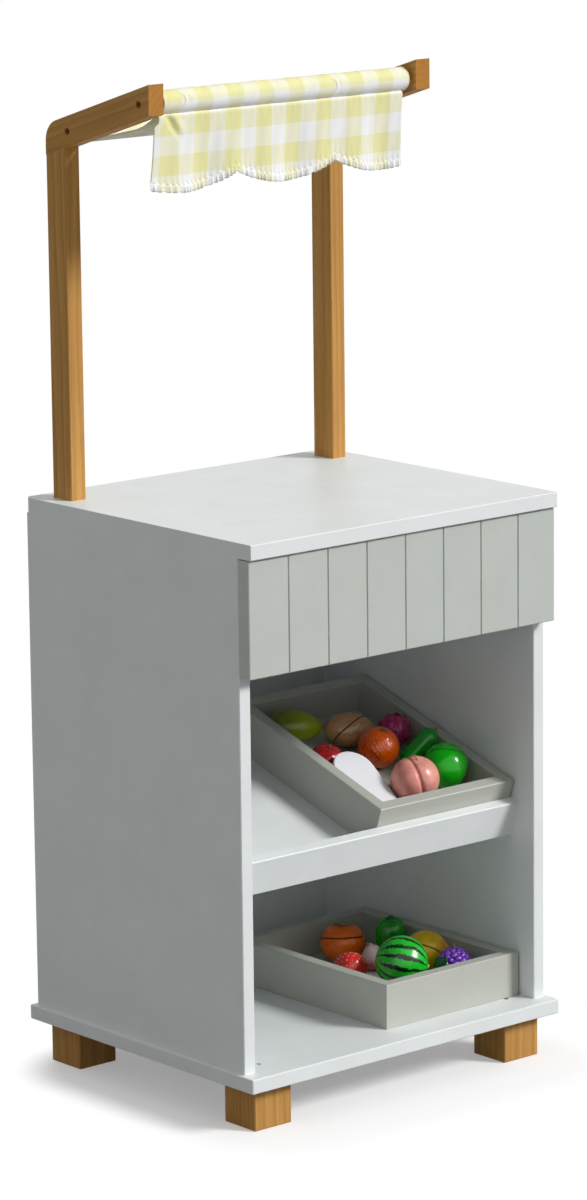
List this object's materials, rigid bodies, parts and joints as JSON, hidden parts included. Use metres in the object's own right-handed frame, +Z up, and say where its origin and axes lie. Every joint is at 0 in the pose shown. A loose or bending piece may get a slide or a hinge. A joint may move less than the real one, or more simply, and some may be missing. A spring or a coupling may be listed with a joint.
{
  "type": "toy market stall",
  "caption": "Child's play market stall: a painted cabinet on block feet with a sloping shelf, lift-out trays of play food, and a wooden frame carrying a scalloped cloth awning.",
  "frame": {"origin": "on the floor, under the middle of the stall's overall box", "axes": "+Z up, +X to the right of someone facing the stall's front, -Y out of the front"},
  "size_m": [0.511, 0.4436, 1.261],
  "materials": {
    "white_board": "satin white paint on board",
    "grey_board": "satin pale grey paint on board",
    "pine": "clear-oiled pine",
    "dowel_wood": "raw beech",
    "steel": "zinc-plated",
    "gingham_cotton": "woven cotton check",
    "peach_plastic": "moulded gloss",
    "apple_plastic": "moulded gloss",
    "orange_plastic": "moulded gloss",
    "pepper_plastic": "moulded gloss",
    "dragon_plastic": "moulded gloss",
    "kiwi_plastic": "moulded gloss",
    "red_plastic": "moulded gloss",
    "avocado_plastic": "moulded gloss",
    "white_plastic": "moulded satin",
    "watermelon_plastic": "moulded gloss",
    "radish_plastic": "moulded gloss",
    "lemon_plastic": "moulded gloss",
    "grape_plastic": "moulded gloss",
    "persimmon_plastic": "moulded gloss"
  },
  "bodies": {
    "stall": {"base_board": "white_board", "left_side_panel": "white_board", "right_side_panel": "white_board", "back_panel": "white_board", "counter_top": "white_board", "plank_fascia": "grey_board", "sloping_shelf": "white_board", "shelf_lip": "white_board", "front_left_foot": "pine", "front_right_foot": "pine", "rear_left_foot": "pine", "rear_right_foot": "pine", "foot_screws": "steel", "base_screws": "steel", "back_panel_screws": "steel", "board_dowels": "dowel_wood", "left_post": "pine", "right_post": "pine", "left_arm": "pine", "right_arm": "pine", "post_bolts": "steel", "frame_dowels": "dowel_wood", "front_rod": "pine", "rear_rod": "pine", "rod_screws": "steel", "canopy_roof": "gingham_cotton", "front_rod_sleeve": "gingham_cotton", "rear_rod_sleeve": "gingham_cotton", "valance": "gingham_cotton", "valance_frill": "gingham_cotton"},
    "lower_tray": {"lower_tray_front": "grey_board", "lower_tray_back": "grey_board", "lower_tray_left": "grey_board", "lower_tray_right": "grey_board", "lower_tray_floor": "grey_board"},
    "upper_tray": {"upper_tray_front": "grey_board", "upper_tray_back": "grey_board", "upper_tray_left": "grey_board", "upper_tray_right": "grey_board", "upper_tray_floor": "grey_board"},
    "peach": {"peach": "peach_plastic"},
    "green_apple_lower": {"green_apple_lower": "apple_plastic"},
    "orange": {"orange": "orange_plastic"},
    "green_pepper": {"green_pepper": "pepper_plastic"},
    "dragon_fruit": {"dragon_fruit": "dragon_plastic"},
    "kiwi_lower": {"kiwi_lower": "kiwi_plastic"},
    "tomato": {"tomato": "red_plastic"},
    "avocado": {"avocado": "avocado_plastic"},
    "chopping_board": {"chopping_board": "white_plastic"},
    "watermelon": {"watermelon": "watermelon_plastic"},
    "strawberry": {"strawberry": "red_plastic"},
    "radish": {"radish": "radish_plastic"},
    "lemon_lower": {"lemon_lower": "lemon_plastic"},
    "grapes": {"grapes": "grape_plastic"},
    "persimmon_lower": {"persimmon_lower": "persimmon_plastic"},
    "bell_pepper": {"bell_pepper": "pepper_plastic"},
    "green_apple_upper": {"green_apple_upper": "apple_plastic"},
    "kiwi_upper": {"kiwi_upper": "kiwi_plastic"},
    "lemon_upper": {"lemon_upper": "lemon_plastic"},
    "persimmon_upper": {"persimmon_upper": "persimmon_plastic"}
  },
  "joints": [
    {"name": "lower_tray_slide", "type": "slide", "parent": "stall", "child": "lower_tray", "axis": [0, -1, 0], "range_m": [0, 0.28]},
    {"name": "upper_tray_lift", "type": "slide", "parent": "stall", "child": "upper_tray", "axis": [0, -0.309, 0.9511], "range_m": [0, 0.06]},
    {"name": "peach_lift", "type": "slide", "parent": "upper_tray", "child": "peach", "axis": [0, -0.309, 0.9511], "range_m": [0, 0.06]},
    {"name": "green_apple_lower_lift", "type": "slide", "parent": "upper_tray", "child": "green_apple_lower", "axis": [0, -0.309, 0.9511], "range_m": [0, 0.06]},
    {"name": "orange_lift", "type": "slide", "parent": "upper_tray", "child": "orange", "axis": [0, -0.309, 0.9511], "range_m": [0, 0.06]},
    {"name": "green_pepper_lift", "type": "slide", "parent": "upper_tray", "child": "green_pepper", "axis": [0, -0.309, 0.9511], "range_m": [0, 0.06]},
    {"name": "dragon_fruit_lift", "type": "slide", "parent": "upper_tray", "child": "dragon_fruit", "axis": [0, -0.309, 0.9511], "range_m": [0, 0.06]},
    {"name": "kiwi_lower_lift", "type": "slide", "parent": "upper_tray", "child": "kiwi_lower", "axis": [0, -0.309, 0.9511], "range_m": [0, 0.06]},
    {"name": "tomato_lift", "type": "slide", "parent": "upper_tray", "child": "tomato", "axis": [0, -0.309, 0.9511], "range_m": [0, 0.06]},
    {"name": "avocado_lift", "type": "slide", "parent": "upper_tray", "child": "avocado", "axis": [0, -0.309, 0.9511], "range_m": [0, 0.06]},
    {"name": "chopping_board_lift", "type": "slide", "parent": "upper_tray", "child": "chopping_board", "axis": [0, -0.309, 0.9511], "range_m": [0, 0.06]},
    {"name": "watermelon_lift", "type": "slide", "parent": "lower_tray", "child": "watermelon", "axis": [0, 0, 1], "range_m": [0, 0.06]},
    {"name": "strawberry_lift", "type": "slide", "parent": "lower_tray", "child": "strawberry", "axis": [0, 0, 1], "range_m": [0, 0.06]},
    {"name": "radish_lift", "type": "slide", "parent": "lower_tray", "child": "radish", "axis": [0, 0, 1], "range_m": [0, 0.06]},
    {"name": "lemon_lower_lift", "type": "slide", "parent": "lower_tray", "child": "lemon_lower", "axis": [0, 0, 1], "range_m": [0, 0.06]},
    {"name": "grapes_lift", "type": "slide", "parent": "lower_tray", "child": "grapes", "axis": [0, 0, 1], "range_m": [0, 0.06]},
    {"name": "persimmon_lower_lift", "type": "slide", "parent": "lower_tray", "child": "persimmon_lower", "axis": [0, 0, 1], "range_m": [0, 0.06]},
    {"name": "bell_pepper_lift", "type": "slide", "parent": "lower_tray", "child": "bell_pepper", "axis": [0, 0, 1], "range_m": [0, 0.06]},
    {"name": "green_apple_upper_lift", "type": "slide", "parent": "green_apple_lower", "child": "green_apple_upper", "axis": [0, -0.309, 0.9511], "range_m": [0, 0.04]},
    {"name": "kiwi_upper_lift", "type": "slide", "parent": "kiwi_lower", "child": "kiwi_upper", "axis": [0, -0.309, 0.9511], "range_m": [0, 0.04]},
    {"name": "lemon_upper_lift", "type": "slide", "parent": "lemon_lower", "child": "lemon_upper", "axis": [0, 0, 1], "range_m": [0, 0.04]},
    {"name": "persimmon_upper_lift", "type": "slide", "parent": "persimmon_lower", "child": "persimmon_upper", "axis": [0, 0, 1], "range_m": [0, 0.04]}
  ]
}
